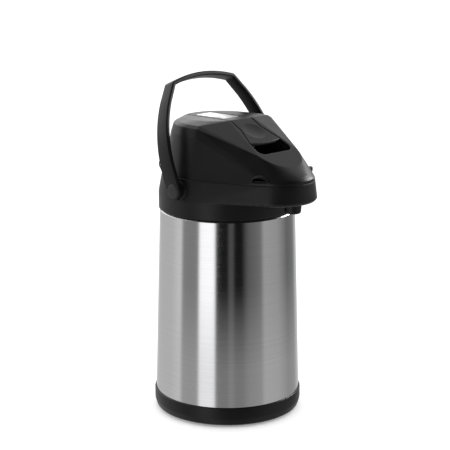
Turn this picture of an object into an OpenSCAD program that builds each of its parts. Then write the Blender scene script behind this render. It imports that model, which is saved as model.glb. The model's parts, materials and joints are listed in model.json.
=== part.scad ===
// Thermal coffee airpot with a lever pump, a hinged lid and a swing handle.
// Frame: +Z up, +X towards the spout, origin on the floor at the centre of the base.
// Sizes are in millimetres and angles in degrees.

/* [Body] */
// Radius of the base cup at its widest
base_r = 81.5; // [81:0.1:83]
// Height of the base cup's upper edge
base_h = 23.2; // [22:0.1:25]
// Radius of the steel body just above the base cup
body_r_low = 80; // [79.5:0.1:80]
// Radius of the steel body just under the collar
body_r_top = 74.2; // [73.8:0.1:74.4]
// Thickness of the steel sheet
sheet = 0.8; // [0.6:0.1:1]

/* [Collar] */
// Height of the collar's lower edge
collar_z = 228.8; // [228.6:0.1:230]
// Radius of the collar's skirt
collar_r = 75.2; // [75:0.1:75.6]
// Height of the underside of the nose and of the deck
nose_z = 247; // [246.5:0.1:247.5]
// Distance of the nose circle's centre in front of the axis
nose_x = 75; // [73:1:77]
// Height of the collar's upper edge
part_z = 269.9; // [269.5:0.1:270]
// Wall thickness of the plastic mouldings
wall = 2.4; // [2.2:0.1:2.6]

/* [Lid] */
// Gap between the collar and the lid
part_gap = 0.4; // [0.3:0.1:0.5]
// Distance in front of the axis at which the top turns down into the sloping face
crease_x = 20; // [18:1:22]
// Height of the lid's top at that crease
crease_z = 327.4; // [327:0.1:328]
// Fall of the sloping face for each millimetre forwards
face_slope = 0.53; // [0.51:0.01:0.55]
// Rise of the lid's top for each millimetre forwards
crown_rise = 0.013; // [0:0.001:0.02]
// Height of the lid's hinge axis
hinge_z = 268; // [267.5:0.5:268.5]
// Distance of the lid's hinge axis behind the body's axis
hinge_back = 78; // [77.5:0.5:78.5]

/* [Lever] */
// Half the width of the lever's strip
lever_half = 15; // [14.5:0.5:15.5]
// Half the width of the lever at its lip
lip_half = 22.5; // [21.5:0.5:23]
// Distance of the lip in front of the axis
lip_x = 58.5; // [57.5:0.5:59.5]
// Gap all round the lever
lever_gap = 0.8; // [0.7:0.1:1]
// Height of the lever's pivot
pivot_z = 319; // [318.5:0.5:319.5]
// Distance of the lever's pivot behind the body's axis
pivot_back = 40; // [39.5:0.5:40.5]
// Distance of the presser in front of the body's axis
presser_x = 5; // [4:1:6]

/* [Handle] */
// Height of the handle's pivots
handle_z = 257; // [256.5:0.5:257.5]
// Half the width over the handle's arms at the pivots
handle_half = 81.8; // [81.6:0.1:82.4]
// Thickness of the strap
strap = 4.8; // [4.6:0.1:5]
// Lean of the handle towards the back
handle_lean = 21.5; // [20:0.5:25]
// Distance from the pivots to the top of the strap
handle_reach = 122.5; // [121:0.5:124]
// Radius of the handle's pins
handle_pin_r = 4; // [3.8:0.1:4.2]

/* [Hidden] */

$fn = 96;
// Facets of the rings inside a hull
hull_fn = 48;
// Running clearance between a pin and its bore
run = 0.05;
// Thickness of the slices that a hull joins
slice = 0.02;
black = [0.07, 0.07, 0.075];
dark = [0.13, 0.13, 0.14];
steel = [0.78, 0.79, 0.8];
silicone = [0.82, 0.82, 0.8];

// Body and flask
pad_r = 71;
pad_thick = 2.2;
neck_r = 36.4;
neck_top = nose_z + 7;
flask_gap = 5.6;
flask_seam = 21.4;
shell_seam = 226.4;

// Collar: each ring is its height and its radius
deck_top = nose_z + wall;
collar_rings = [[nose_z, collar_r], [253, 74.2], [262, 72.3], [part_z, 71]];
nose_rings = [[nose_z, 37], [nose_z + 1, 40], [nose_z + 3.5, 42], [258, 41], [part_z, 39.6]];
boss_r = 9.5;
hinge_r = 5.2;
hinge_pin_r = 2.5;
hinge_half = 26;
knuckle_half = 13;
catch_x = 109.4;
catch_half = 8;
toe_x = catch_x - 0.4;

nut_r = 44;
nut_thick = 4;

// Tubes and the holder in the neck
cup_r = 42;
cup_z = neck_top + 1.5;
cup_floor = 2.2;
cup_top = 268;
stem_r = 10;
stem_top = 266;
tube_r = 5;
tube_bore = 3.7;
tube_fit = 0.02;
tube_low = 22;
tube_top = 254;
outlet_z = 261.5;
spout_x = 97;
spout_z = 236.5;
shank_r = 7.5;
ball_r = 4.2;
ball_room = 4.6;
ball_z = tube_top + sqrt(ball_r * ball_r - tube_bore * tube_bore) + 0.1;

// Lid: each ring is its height and its radius
lid_z = part_z + part_gap;
lid_rings = [[313.3, 61], [322, 58.2], [324.6, 53.6]];
// The lid's flat top is a circle
top_x = -13.5;
flat_r = 38.3;
lid_nose_rings = [[lid_z, 39.5], [272.5, 39.3], [274.8, 38.5], [277, 37]];
lid_r = 70.9;
// The rings above the parting line end here, and the sloping face's own outline takes over
ring_end_x = 12;
// The sloping face ends in an arc, and its sides fall away from its plane towards the crease
face_half = 45.2;
face_x = 66.5;
face_r = 30;
face_turn = 73;
face_drop = 6;
lid_floor = 271;
floor_thick = 2.4;
post_r = 4;
post_ring = 57;
post_angles = [52, 128, -128, -52];
screw_r = 1.5;
valve_r = 8;
well_x = 74;
well_half = 24.5;
well_round = 7;
tray_z = 275;
tray_wall = 1.8;
// The tray's trough under the lever starts here, and its rear wall is open above this height
tray_x = 34;
tray_open_z = 288.5;
// Room round the lever in the tray, which the flare needs when it swings down and back
tray_room = 2.8;
// How far forwards along the side wall the middle of each finger tab lies
tab_along = 61;
tab_z = 267.9;
tab_arc_r = 11.4;
tab_wall = 1.4;
tab_embed = 1.1;
tab_reach = 6.5;
tab_round = 12;
tab_low = 4.9;
// How far the side wall is hollowed under the tab
tab_hollow = 0.4;
// Height at which the tab meets the side wall, and how far that wall leans in for each millimetre upwards
tab_root_z = 278;
side_draft = 0.23;

// Lever and pump
lever_pin_r = 2;
lever_thick = 3;
lever_skirt = 8;
// The skirt stops this far behind the lip, which a finger reaches under
lip_reach = 8;
ear_y = 18.6;
ear_thick = 3.6;
pin_half = ear_y + ear_thick / 2;
barrel_half = lever_half - 1;
barrel_r = 4.4;
flare_x = 36;
lip_arc_r = 110;
// The thumb's shallow dish in the lever
pad_x = 40;
pad_curve = 76;
pad_deep = 1.2;
plate_z = 297.5;
plate_thick = 3;
plate_r = 32;
presser_r = 4;
// The name plate's rear edge, length and half width
label_x = -38;
label_long = 44;
label_half = 11;
bellows_folds = 6;
fold_in = 26;
fold_out = 30.5;
fold_skin = 1;
coil_r = 13;
coil_wire = 0.9;

// Handle
arm_bend_start = 22;
arm_bend_r = 138;
arm_bend = 33;
top_r = 159;
corner_half = 46.6;

// Height of the sloping face, and of the lid's top behind the crease
function face_z(x) = crease_z - face_slope * (x - crease_x);
function crown_z(x) = crease_z + crown_rise * (x - crease_x);

// A flat outline in X and Z, extruded by half to each side of the XZ plane
module across(half) { rotate([90, 0, 0]) linear_extrude(height = 2 * half, center = true) children(); }

// A cylinder along Y, centred on the XZ plane
module rod_y(r, half) { rotate([90, 0, 0]) cylinder(r = r, h = 2 * half, center = true); }

// A cylinder along Y from one height of the Y axis to another
module rod_side(r, from, to) { translate([0, to, 0]) rotate([90, 0, 0]) cylinder(r = r, h = to - from); }

// Everything above a height
module above(z) { translate([-150, -150, z]) cube([350, 300, 200]); }

// Rings for a hull, set in by d
module rings(list, d, x, fn) {
    for (ring = list) translate([x, 0, ring[0]]) cylinder(r = ring[1] - d, h = slice, $fn = fn);
}

// ---------- Base and flask ----------

module foot_pad() {
    color(dark) cylinder(r = pad_r, h = pad_thick);
}

module base_cup() {
    color(black) difference() {
        rotate_extrude() polygon([[0, 1.2], [73, 1.2], [76.2, 1.9], [79, 4], [80.8, 7], [base_r, 11],
            [base_r, base_h - 0.8], [base_r - 0.7, base_h], [80.1, base_h], [80.1, 8.6], [77, 4], [0, 4]]);
        cylinder(r = pad_r, h = pad_thick);
    }
}

module shell_bottom() {
    rim = body_r_low - 0.1 - sheet;
    color(steel) rotate_extrude() polygon([[0, 11], [66, 11], [70, 9], [rim, 9], [rim, 9.8], [70.4, 9.8],
        [66.4, 11.8], [0, 11.8]]);
}

module vacuum_plug() {
    color(dark) translate([0, 0, 8.5]) cylinder(r = 7, h = 2.5);
}

module outer_shell() {
    low = body_r_low - 0.1;
    color(steel) rotate_extrude() polygon([[low, 9], [low, 20], [body_r_low, base_h],
        [body_r_top, shell_seam], [body_r_top - sheet, shell_seam], [body_r_low - sheet, base_h],
        [low - sheet, 20], [low - sheet, 9]]);
}

module shell_shoulder() {
    lip = body_r_top - 1.8;
    color(steel) rotate_extrude() polygon([[body_r_top, shell_seam], [lip, 228.4], [lip, 233], [70, 237.5],
        [65, 240.5], [neck_r + 3, 242], [neck_r, 243.6], [neck_r, neck_top], [neck_r - sheet, neck_top],
        [neck_r - sheet, 242.8], [neck_r + 2.4, 241.2], [64.8, 239.7], [69.3, 236.9], [lip - sheet, 232.8],
        [lip - sheet, 228], [body_r_top - sheet, shell_seam]]);
}

module inner_flask() {
    wide = body_r_low - flask_gap;
    top = body_r_top - flask_gap;
    color(steel) rotate_extrude() polygon([[wide, flask_seam], [top, shell_seam], [top - sheet, shell_seam],
        [wide - sheet, flask_seam]]);
}

module flask_bottom() {
    wide = body_r_low - flask_gap;
    color(steel) rotate_extrude() polygon([[0, 16], [wide - 8, 16], [wide - 2.4, 17.6], [wide, flask_seam],
        [wide - sheet, flask_seam], [wide - 3, 18.3], [wide - 8.2, 16.8], [0, 16.8]]);
}

module flask_shoulder() {
    top = body_r_top - flask_gap;
    throat = neck_r - sheet;
    color(steel) rotate_extrude() polygon([[top, shell_seam], [top - 3, 233], [60, 236.5], [throat + 3, 238],
        [throat, 240.5], [throat, neck_top], [throat - sheet, neck_top], [throat - sheet, 240],
        [throat + 2.5, 237.2], [59.8, 235.7], [top - 3.6, 232.4], [top - sheet, shell_seam]]);
}

// ---------- Collar ----------

// The collar's band with its nose, set in by d; extra raises its open upper end
module collar_block(d, extra) {
    hull() {
        rings(collar_rings, d, 0, 2 * hull_fn);
        rings(nose_rings, d, nose_x, hull_fn);
        rings([[part_z + extra, collar_rings[3][1]]], d, 0, 2 * hull_fn);
        rings([[part_z + extra, nose_rings[4][1]]], d, nose_x, hull_fn);
    }
}

module collar_knuckle(side) {
    y = side * (hinge_half + knuckle_half + 0.3) / 2;
    long = hinge_half - knuckle_half - 0.3;
    translate([-hinge_back, y, hinge_z]) rod_y(hinge_r, long / 2);
    translate([0, y, 0]) across(long / 2)
        polygon([[-hinge_back - 4.6, 265.6], [-hinge_back + 2, 256], [-68.5, 252], [-68.5, hinge_z],
            [-hinge_back, hinge_z]]);
}

module collar() {
    color(black) difference() {
        union() {
            difference() {
                union() {
                    collar_block(0, 0);
                    translate([0, 0, collar_z]) cylinder(r = collar_r, h = nose_z - collar_z + 0.5);
                }
                intersection() {
                    collar_block(wall, 1);
                    above(deck_top);
                }
                translate([0, 0, collar_z - 1]) cylinder(r = body_r_top - 1.6, h = nose_z - collar_z + 1);
            }
            for (side = [-1, 1]) translate([0, side * 74.9, handle_z]) rod_y(boss_r, 1.7);
            for (side = [-1, 1]) collar_knuckle(side);
            translate([catch_x, -catch_half, 266.2]) cube([3.6, 2 * catch_half, 2.4]);
        }
        translate([0, 0, nose_z - 1]) cylinder(r = neck_r + 0.3, h = wall + 2);
        translate([spout_x, 0, nose_z - 1]) cylinder(r = shank_r + 0.1, h = wall + 2);
        translate([0, 0, handle_z]) rod_y(handle_pin_r, 90);
        translate([-hinge_back, 0, hinge_z]) rod_y(hinge_pin_r, 60);
    }
}

module neck_nut() {
    color(dark) translate([0, 0, deck_top]) difference() {
        cylinder(r = nut_r, h = nut_thick);
        translate([0, 0, -1]) cylinder(r = neck_r + 0.1, h = nut_thick + 2);
        for (a = [0:30:330]) rotate([0, 0, a]) translate([nut_r + 0.6, 0, -1])
            cylinder(r = 1.8, h = nut_thick + 2);
    }
}

module neck_gasket() {
    color(silicone) translate([0, 0, neck_top]) difference() {
        cylinder(r = 38, h = cup_z - neck_top);
        translate([0, 0, -1]) cylinder(r = 34.9, h = 4);
    }
}

// ---------- Tubes ----------

module tube_holder() {
    color(dark) difference() {
        rotate_extrude() polygon([[0, 246], [stem_r, 246], [stem_r, cup_z], [32, cup_z], [32, 245],
            [34.2, 245], [34.2, cup_z], [cup_r, cup_z], [cup_r, cup_top], [cup_r - 2.2, cup_top],
            [cup_r - 2.2, cup_z + cup_floor], [stem_r, cup_z + cup_floor], [stem_r, stem_top],
            [0, stem_top]]);
        translate([0, 0, 240]) cylinder(r = tube_r + tube_fit, h = tube_top - 240);
        translate([0, 0, tube_top - 1]) cylinder(r = ball_room, h = 20);
        translate([0, 0, outlet_z]) rotate([0, 90, 0]) cylinder(r = tube_bore, h = stem_r);
        translate([7, 0, outlet_z]) rotate([0, 90, 0]) cylinder(r = tube_r + tube_fit, h = cup_r);
        for (a = [36:72:324]) rotate([0, 0, a]) translate([21, 0, 250]) cylinder(r = 8.5, h = 12);
    }
}

module siphon_tube() {
    color(steel) translate([0, 0, tube_low]) difference() {
        cylinder(r = tube_r, h = tube_top - tube_low);
        translate([0, 0, -1]) cylinder(r = tube_bore, h = tube_top - tube_low + 2);
    }
}

module siphon_foot() {
    color(dark) difference() {
        translate([0, 0, 18]) cylinder(r = 6.6, h = 16);
        translate([0, 0, tube_low]) cylinder(r = tube_r + tube_fit, h = 20);
        translate([0, 0, 17]) cylinder(r = tube_bore, h = 10);
        for (a = [0, 60, 120]) rotate([0, 0, a]) translate([-10, -1.2, 17]) cube([20, 2.4, 4]);
    }
}

module outlet_tube() {
    color(steel) difference() {
        union() {
            translate([7, 0, outlet_z]) rotate([0, 90, 0]) cylinder(r = tube_r, h = spout_x - 7);
            translate([spout_x, 0, outlet_z]) sphere(r = tube_r);
            translate([spout_x, 0, nose_z]) cylinder(r = tube_r, h = outlet_z - nose_z);
        }
        translate([6, 0, outlet_z]) rotate([0, 90, 0]) cylinder(r = tube_bore, h = spout_x - 6);
        translate([spout_x, 0, outlet_z]) sphere(r = tube_bore);
        translate([spout_x, 0, nose_z - 1]) cylinder(r = tube_bore, h = outlet_z - nose_z + 1);
    }
}

module spout_nozzle() {
    color(black) translate([spout_x, 0, 0]) rotate_extrude() polygon([[tube_r + tube_fit, nose_z],
        [tube_r + tube_fit, 256], [shank_r, 256], [shank_r, nose_z], [9.4, nose_z], [8.7, spout_z + 1.4],
        [7.6, spout_z], [5.4, spout_z], [tube_bore, spout_z + 4], [tube_bore, nose_z]]);
}

module spout_nut() {
    color(dark) translate([spout_x, 0, deck_top]) difference() {
        cylinder(r = 11.5, h = nut_thick, $fn = 6);
        translate([0, 0, -1]) cylinder(r = shank_r + tube_fit, h = nut_thick + 2);
    }
}

module ball_cap() {
    color(dark) translate([0, 0, 263.4]) {
        cylinder(r = ball_room, h = stem_top - 263.4);
        translate([0, 0, stem_top - 263.4]) cylinder(r = 7, h = 1.2);
    }
}

module tip_ball() {
    color(steel) translate([0, 0, ball_z]) sphere(r = ball_r);
}

// ---------- Pins in the collar ----------

module handle_pin(side) {
    color(dark) translate([0, 0, handle_z]) {
        translate([0, side * 68.4, 0]) rod_y(6, 1);
        translate([0, side * 74.7, 0]) rod_y(handle_pin_r, 6);
    }
}

module handle_pin_left() { handle_pin(1); }

module handle_pin_right() { handle_pin(-1); }

module hinge_pin() {
    color(steel) translate([-hinge_back, 0, hinge_z]) rod_y(hinge_pin_r, hinge_half + 0.6);
}

// ---------- Handle ----------

// One side of the handle's outline, from the pivot up to the corner, then half of the top
function arm_points(side) = concat(
    [[side * handle_half, -30]],
    [for (a = [0:3:arm_bend])
        [side * (handle_half - arm_bend_r * (1 - cos(a))), arm_bend_start + arm_bend_r * sin(a)]],
    [for (i = [0:6]) let (y = corner_half * (1 - i / 6))
        [side * y, handle_reach - top_r + sqrt(top_r * top_r - y * y)]]);

function reversed(list) = [for (i = [len(list) - 2:-1:0]) list[i]];

module handle_outline() {
    offset(r = 8, $fn = 48) offset(delta = -8) polygon(concat(arm_points(1), reversed(arm_points(-1))));
}

module handle() {
    color(black) translate([0, 0, handle_z]) rotate([0, -handle_lean, 0]) difference() {
        intersection() {
            rotate([90, 0, 90]) linear_extrude(height = 30, center = true) difference() {
                handle_outline();
                offset(delta = -strap) handle_outline();
            }
            across(100) {
                circle(r = 10);
                polygon([[-10, 0], [10, 0], [7.2, handle_reach + 2], [-7.2, handle_reach + 2]]);
            }
        }
        rod_side(handle_pin_r + run, 60, handle_half - 0.8);
        rod_side(handle_pin_r + run, -handle_half + 0.8, -60);
    }
}

module handle_cap(side) {
    dome = 20.8;
    color(dark) intersection() {
        translate([0, side * (handle_half + 1.4 - dome), handle_z]) sphere(r = dome);
        translate([0, side * (handle_half + 1), handle_z]) rod_y(12, 1);
    }
}

module handle_cap_left() { handle_cap(1); }

module handle_cap_right() { handle_cap(-1); }

// ---------- Lid ----------

// The sloping face's outline on one side, set in by d
function face_points(side, d) = concat([[crease_x, side * (face_half - d), crease_z - face_drop - d]],
    [for (a = [face_turn:-face_turn / 5:0]) let (x = face_x + (face_r - d) * cos(a))
        [x, side * (face_r - d) * sin(a), face_z(x) - d]]);

// The lid's outside, set in by d; drop lowers its open lower end
module lid_block(d, drop) {
    intersection() {
        hull() {
            rings([[lid_z - drop, lid_r]], d, 0, 2 * hull_fn);
            rings([[lid_z - drop, lid_nose_rings[0][1]]], d, nose_x, hull_fn);
            rings(lid_nose_rings, d, nose_x, hull_fn);
            intersection() {
                translate([0, 0, -d]) rings(lid_rings, d, 0, hull_fn);
                translate([-100, -100, 200]) cube([100 + ring_end_x, 200, 200]);
            }
            translate([top_x, 0, crown_z(top_x) - d - slice]) rotate([0, -atan(crown_rise), 0])
                cylinder(r = flat_r - d, h = slice, $fn = hull_fn);
            for (side = [-1, 1]) for (p = face_points(side, d)) translate(p) cube(slice, center = true);
        }
        across(100) polygon([[-110, 200], [-110, 400], [crease_x, crown_z(crease_x) - d],
            [160, face_z(160) - d], [160, 200]]);
    }
}

// The lever's outline in plan, set out by d
module lever_plan(d) {
    intersection() {
        polygon([[-80, -lever_half - d], [flare_x, -lever_half - d], [lip_x + d, -lip_half - d],
            [lip_x + d, lip_half + d], [flare_x, lever_half + d], [-80, lever_half + d]]);
        union() {
            translate([top_x, 0]) circle(r = flat_r - 1.6 + d);
            translate([0, -40]) square([100, 80]);
        }
        translate([lip_x - lip_arc_r, 0]) circle(r = lip_arc_r + d, $fn = 240);
    }
}

// The finger well's outline in plan, set out by d
module well_plan(d) {
    hull() {
        translate([lip_x - 4.5, -lip_half - d]) square([1, 2 * (lip_half + d)]);
        for (side = [-1, 1]) translate([well_x - well_round, side * (well_half - well_round)])
            circle(r = well_round + d);
    }
}

// The frame of the side wall at the middle of a finger tab, with X pointing out of the wall
module at_tab(side) {
    lean = asin((lid_r - lid_nose_rings[0][1]) / nose_x);
    root = lid_r - side_draft * (tab_root_z - lid_z);
    rotate([0, 0, side * (90 - lean)]) translate([root, -side * tab_along, tab_z]) children();
}

// A curved finger tab on one side of the nose, like the hood of an eye
module finger_tab(side) {
    at_tab(side) intersection() {
        translate([-tab_embed, 0, 0]) rotate([0, 90, 0]) difference() {
            cylinder(r = tab_arc_r, h = tab_embed + tab_reach);
            translate([0, 0, -1]) cylinder(r = tab_arc_r - tab_wall, h = tab_embed + tab_reach + 2);
        }
        translate([tab_reach - tab_round, 0, -50]) cylinder(r = tab_round, h = 100);
        above(tab_low);
    }
}

// The shallow hollow in the side wall under a finger tab
module tab_recess(side) {
    at_tab(side) intersection() {
        translate([-tab_hollow, 0, 0]) rotate([0, 90, 0]) cylinder(r = tab_arc_r - tab_wall - 0.1, h = 10);
        above(tab_low);
    }
}

module lid_knuckle() {
    translate([-hinge_back, 0, hinge_z]) rod_y(hinge_r, knuckle_half);
    across(knuckle_half) polygon([[-hinge_back, hinge_z], [-hinge_back + 4.8, lid_z + 0.1],
        [-68.6, lid_z + 0.1], [-67.2, 279], [-hinge_back - 2, hinge_z + 4.8]]);
}

module lid_shell() {
    color(black) difference() {
        union() {
            difference() {
                lid_block(0, 0);
                lid_block(wall, 2);
            }
            intersection() {
                union() {
                    for (a = post_angles) rotate([0, 0, a]) translate([post_ring, 0, lid_floor + floor_thick])
                        cylinder(r = post_r, h = 60);
                    for (side = [-1, 1])
                        translate([-pivot_back - 5, side * ear_y - ear_thick / 2, pivot_z - 5])
                            cube([10, ear_thick, 20]);
                }
                lid_block(1, 0);
            }
            lid_knuckle();
            for (side = [-1, 1]) finger_tab(side);
        }
        for (side = [-1, 1]) tab_recess(side);
        translate([0, 0, 290]) linear_extrude(height = 60) lever_plan(lever_gap);
        translate([0, 0, 284]) linear_extrude(height = 60) well_plan(0);
        translate([-pivot_back, 0, pivot_z]) rod_y(lever_pin_r, pin_half);
        translate([-hinge_back, 0, hinge_z]) rod_y(hinge_pin_r + run, 40);
        for (a = post_angles) rotate([0, 0, a]) translate([post_ring, 0, lid_floor])
            cylinder(r = screw_r + 0.1, h = 15);
    }
}

module lid_base() {
    rear = lid_r - wall - 1.4;
    front = lid_nose_rings[0][1] - wall - 0.7;
    color(dark) difference() {
        union() {
            translate([0, 0, lid_floor]) linear_extrude(height = floor_thick) hull() {
                circle(r = rear);
                translate([nose_x, 0]) circle(r = front);
            }
            across(catch_half - 0.4) polygon([[toe_x - 3.8, 272], [toe_x - 3.8, 262.8], [toe_x, 262.8],
                [toe_x, 264.6], [toe_x - 1.2, 265.6], [toe_x - 1.2, 272]]);
        }
        translate([0, 0, lid_floor - 1]) difference() {
            cylinder(r = valve_r, h = 5);
            cylinder(r = 3.4, h = 5);
            for (a = [0, 60, 120]) rotate([0, 0, a]) translate([-10, -1, 0]) cube([20, 2, 5]);
        }
        translate([0, 0, lid_floor - 1]) cylinder(r = screw_r + run, h = 5);
        for (a = post_angles) rotate([0, 0, a]) translate([post_ring, 0, lid_floor - 1])
            cylinder(r = screw_r + 0.1, h = 5);
    }
}

module lid_gasket() {
    color(silicone) translate([0, 0, cup_top + 0.4]) difference() {
        cylinder(r = cup_r + 1.4, h = lid_floor - cup_top - 0.4);
        translate([0, 0, -1]) cylinder(r = cup_r - 3.6, h = 6);
    }
}

module lid_screws() {
    color(steel) for (a = post_angles) rotate([0, 0, a]) translate([post_ring, 0, lid_floor]) {
        translate([0, 0, -1.7]) cylinder(r = 3, h = 1.7);
        cylinder(r = screw_r, h = 12);
    }
}

module well_tray() {
    color(black) difference() {
        intersection() {
            translate([0, 0, tray_z]) linear_extrude(height = 40) union() {
                well_plan(tray_wall);
                intersection() {
                    lever_plan(tray_room + tray_wall);
                    translate([tray_x, -40]) square([60, 80]);
                }
            }
            lid_block(wall, 0);
        }
        translate([0, 0, tray_z + tray_wall]) linear_extrude(height = 60) union() {
            well_plan(0);
            intersection() {
                lever_plan(tray_room);
                translate([tray_x + tray_wall, -40]) square([60, 80]);
            }
        }
        translate([tray_x - 4, -23, tray_open_z]) cube([10, 46, 50]);
    }
}

module lever_pin() {
    color(steel) translate([-pivot_back, 0, pivot_z]) rod_y(lever_pin_r, pin_half);
}

// ---------- Lever and pump ----------

// The layer between two depths under the lid's top and sloping face
module layer(from, to) {
    across(60) polygon([[-110, crown_z(-110) - from], [crease_x, crease_z - from], [120, face_z(120) - from],
        [120, face_z(120) - to], [crease_x, crease_z - to], [-110, crown_z(-110) - to]]);
}

module plate_plan() { translate([label_x, -label_half]) square([label_long, 2 * label_half]); }

module lever() {
    tilt = atan(face_slope);
    color(black) difference() {
        union() {
            intersection() {
                translate([0, 0, 270]) linear_extrude(height = 80) lever_plan(0);
                layer(0, lever_thick);
            }
            intersection() {
                translate([0, 0, 270]) linear_extrude(height = 80) difference() {
                    lever_plan(0);
                    lever_plan(-2.2);
                    translate([lip_x - lip_reach, -40]) square([20, 80]);
                }
                layer(0, lever_skirt);
            }
            translate([-pivot_back, 0, pivot_z]) rod_y(barrel_r, barrel_half);
            translate([-pivot_back - 3, -barrel_half, pivot_z]) cube([6, 2 * barrel_half, 6]);
        }
        translate([pad_x, 0, face_z(pad_x)]) rotate([0, tilt, 0]) translate([0, 0, pad_curve - pad_deep])
            sphere(r = pad_curve);
        intersection() {
            translate([0, 0, 300]) linear_extrude(height = 60) plate_plan();
            layer(-5, 0.4);
        }
        translate([-pivot_back, 0, pivot_z]) rod_y(lever_pin_r + run, pin_half);
    }
}

module name_plate() {
    color(steel) intersection() {
        translate([0, 0, 300]) linear_extrude(height = 60) plate_plan();
        layer(-0.2, 0.4);
    }
}

module presser() {
    foot = plate_z + plate_thick + 0.3 + presser_r;
    color(dark) {
        translate([presser_x, 0, foot]) rod_y(presser_r, 9);
        translate([presser_x - 1.5, -9, foot]) cube([3, 18, crown_z(presser_x - 1.5) - lever_thick - foot]);
    }
}

module push_plate() {
    color(dark) translate([0, 0, plate_z]) difference() {
        cylinder(r = plate_r, h = plate_thick);
        for (a = [0:45:315]) rotate([0, 0, a]) translate([20, 0, -1]) cylinder(r = 1.6, h = 6);
    }
}

module intake_flap() {
    color(silicone) translate([0, 0, plate_z - 0.9]) difference() {
        cylinder(r = 24, h = 0.8);
        translate([0, 0, -1]) cylinder(r = 15.5, h = 3);
    }
}

// The bellows' wall zigzags between two radii
module bellows() {
    low = lid_floor + floor_thick;
    high = plate_z;
    steps = 2 * bellows_folds;
    function fold(i, d) = [(i % 2 == 0 ? fold_in : fold_out) - d, low + (high - low) * i / steps];
    outer = [for (i = [0:steps]) fold(i, 0)];
    inner = [for (i = [steps:-1:0]) fold(i, fold_skin)];
    color(silicone) rotate_extrude() polygon(concat(outer, inner));
}

// A round wire wound into a coil about Z
module coil(r, wire, low, high, turns, sides) {
    steps = turns * 14;
    ring = [for (i = [0:steps]) for (j = [0:sides - 1])
        let (a = 360 * turns * i / steps, b = 360 * j / sides, rr = r + wire * cos(b))
        [rr * cos(a), rr * sin(a), low + wire + (high - low - 2 * wire) * i / steps + wire * sin(b)]];
    skin = [for (i = [0:steps - 1]) for (j = [0:sides - 1])
        [i * sides + j, (i + 1) * sides + j, (i + 1) * sides + (j + 1) % sides, i * sides + (j + 1) % sides]];
    first = [for (j = [0:sides - 1]) j];
    last = [for (j = [sides - 1:-1:0]) steps * sides + j];
    polyhedron(points = ring, faces = concat(skin, [first], [last]), convexity = 6);
}

module bellows_spring() {
    color(steel) coil(coil_r, coil_wire, lid_floor + floor_thick + 0.1, plate_z - 1, 4, 8);
}

module outlet_valve() {
    color(silicone) {
        translate([0, 0, lid_floor - 1.9]) cylinder(r = 10, h = 1.6);
        translate([0, 0, lid_floor - 1]) cylinder(r = screw_r, h = 7);
        translate([0, 0, lid_floor + 5.4]) cylinder(r = 2.6, h = 1.2);
    }
}

foot_pad();
base_cup();
shell_bottom();
vacuum_plug();
outer_shell();
shell_shoulder();
inner_flask();
flask_bottom();
flask_shoulder();
collar();
neck_nut();
neck_gasket();
tube_holder();
siphon_tube();
siphon_foot();
outlet_tube();
spout_nozzle();
spout_nut();
ball_cap();
handle_pin_left();
handle_pin_right();
hinge_pin();
tip_ball();
handle();
handle_cap_left();
handle_cap_right();
lid_shell();
lid_base();
lid_gasket();
lid_screws();
well_tray();
lever_pin();
lever();
name_plate();
presser();
push_plate();
intake_flap();
bellows();
bellows_spring();
outlet_valve();
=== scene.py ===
"""Looks of a lever pump airpot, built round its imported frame.

Every outline below is in millimetres. add_mesh() turns them into metres, in the frame's own axes:
+Z up, +X towards the spout, origin on the floor at the centre of the base.
"""
import json
import math

import bmesh
import bpy
from mathutils import Matrix, Vector


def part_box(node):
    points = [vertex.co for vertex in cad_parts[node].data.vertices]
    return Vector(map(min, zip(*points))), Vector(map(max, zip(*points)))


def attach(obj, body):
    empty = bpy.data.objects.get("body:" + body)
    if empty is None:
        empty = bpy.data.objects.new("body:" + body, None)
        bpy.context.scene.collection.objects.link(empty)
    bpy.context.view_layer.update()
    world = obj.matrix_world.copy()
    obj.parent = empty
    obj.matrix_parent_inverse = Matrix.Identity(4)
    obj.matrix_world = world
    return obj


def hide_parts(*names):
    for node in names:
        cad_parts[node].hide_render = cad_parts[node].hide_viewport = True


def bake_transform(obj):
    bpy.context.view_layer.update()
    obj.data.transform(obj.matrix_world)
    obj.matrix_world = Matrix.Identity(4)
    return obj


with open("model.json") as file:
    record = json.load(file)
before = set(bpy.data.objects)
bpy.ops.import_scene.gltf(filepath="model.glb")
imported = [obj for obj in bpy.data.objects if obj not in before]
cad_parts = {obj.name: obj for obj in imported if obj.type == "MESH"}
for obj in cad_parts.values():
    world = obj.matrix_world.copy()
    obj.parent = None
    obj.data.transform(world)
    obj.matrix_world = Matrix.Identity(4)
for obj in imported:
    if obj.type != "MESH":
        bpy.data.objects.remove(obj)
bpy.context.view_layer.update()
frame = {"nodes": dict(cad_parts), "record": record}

MM = 0.001
SAME_PLACE = 1e-6        # metres: mesh points nearer than this are one point


def box_mm(node):
    """Lowest and highest corners of a CAD node in millimetres."""
    low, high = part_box(node)
    return low / MM, high / MM


# ---------- Sizes, in millimetres ----------

BASE_R = box_mm("base_cup")[1].x
BASE_H = box_mm("base_cup")[1].z
PAD_R = box_mm("foot_pad")[1].x
PAD_H = box_mm("foot_pad")[1].z
SHELL_LOW = box_mm("outer_shell")[0].z
SHELL_HIGH = box_mm("outer_shell")[1].z
SHELL_R = box_mm("outer_shell")[1].x
SHELL_TOP_R = box_mm("shell_shoulder")[1].x
SHEET = 0.8
COLLAR_LOW = box_mm("collar")[0].z
COLLAR_R = 75.2
KNUCKLE_R = 5.2
KNUCKLE_HALF = 6.35
KNUCKLE_Y = 19.65
LID_KNUCKLE_HALF = 13
BOSS_R = 9.5
BOSS_Y = 74.9
BOSS_HALF = 1.7
CATCH_X = 109.4
CATCH_HALF = 8
NOSE_Z = box_mm("spout_nozzle")[1].z - 9
NOSE_X = 75
PART_Z = 269.9
WALL = 2.4
SPOUT_X = sum(c.x for c in box_mm("spout_nozzle")) / 2
SPOUT_Z = box_mm("spout_nozzle")[0].z
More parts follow.
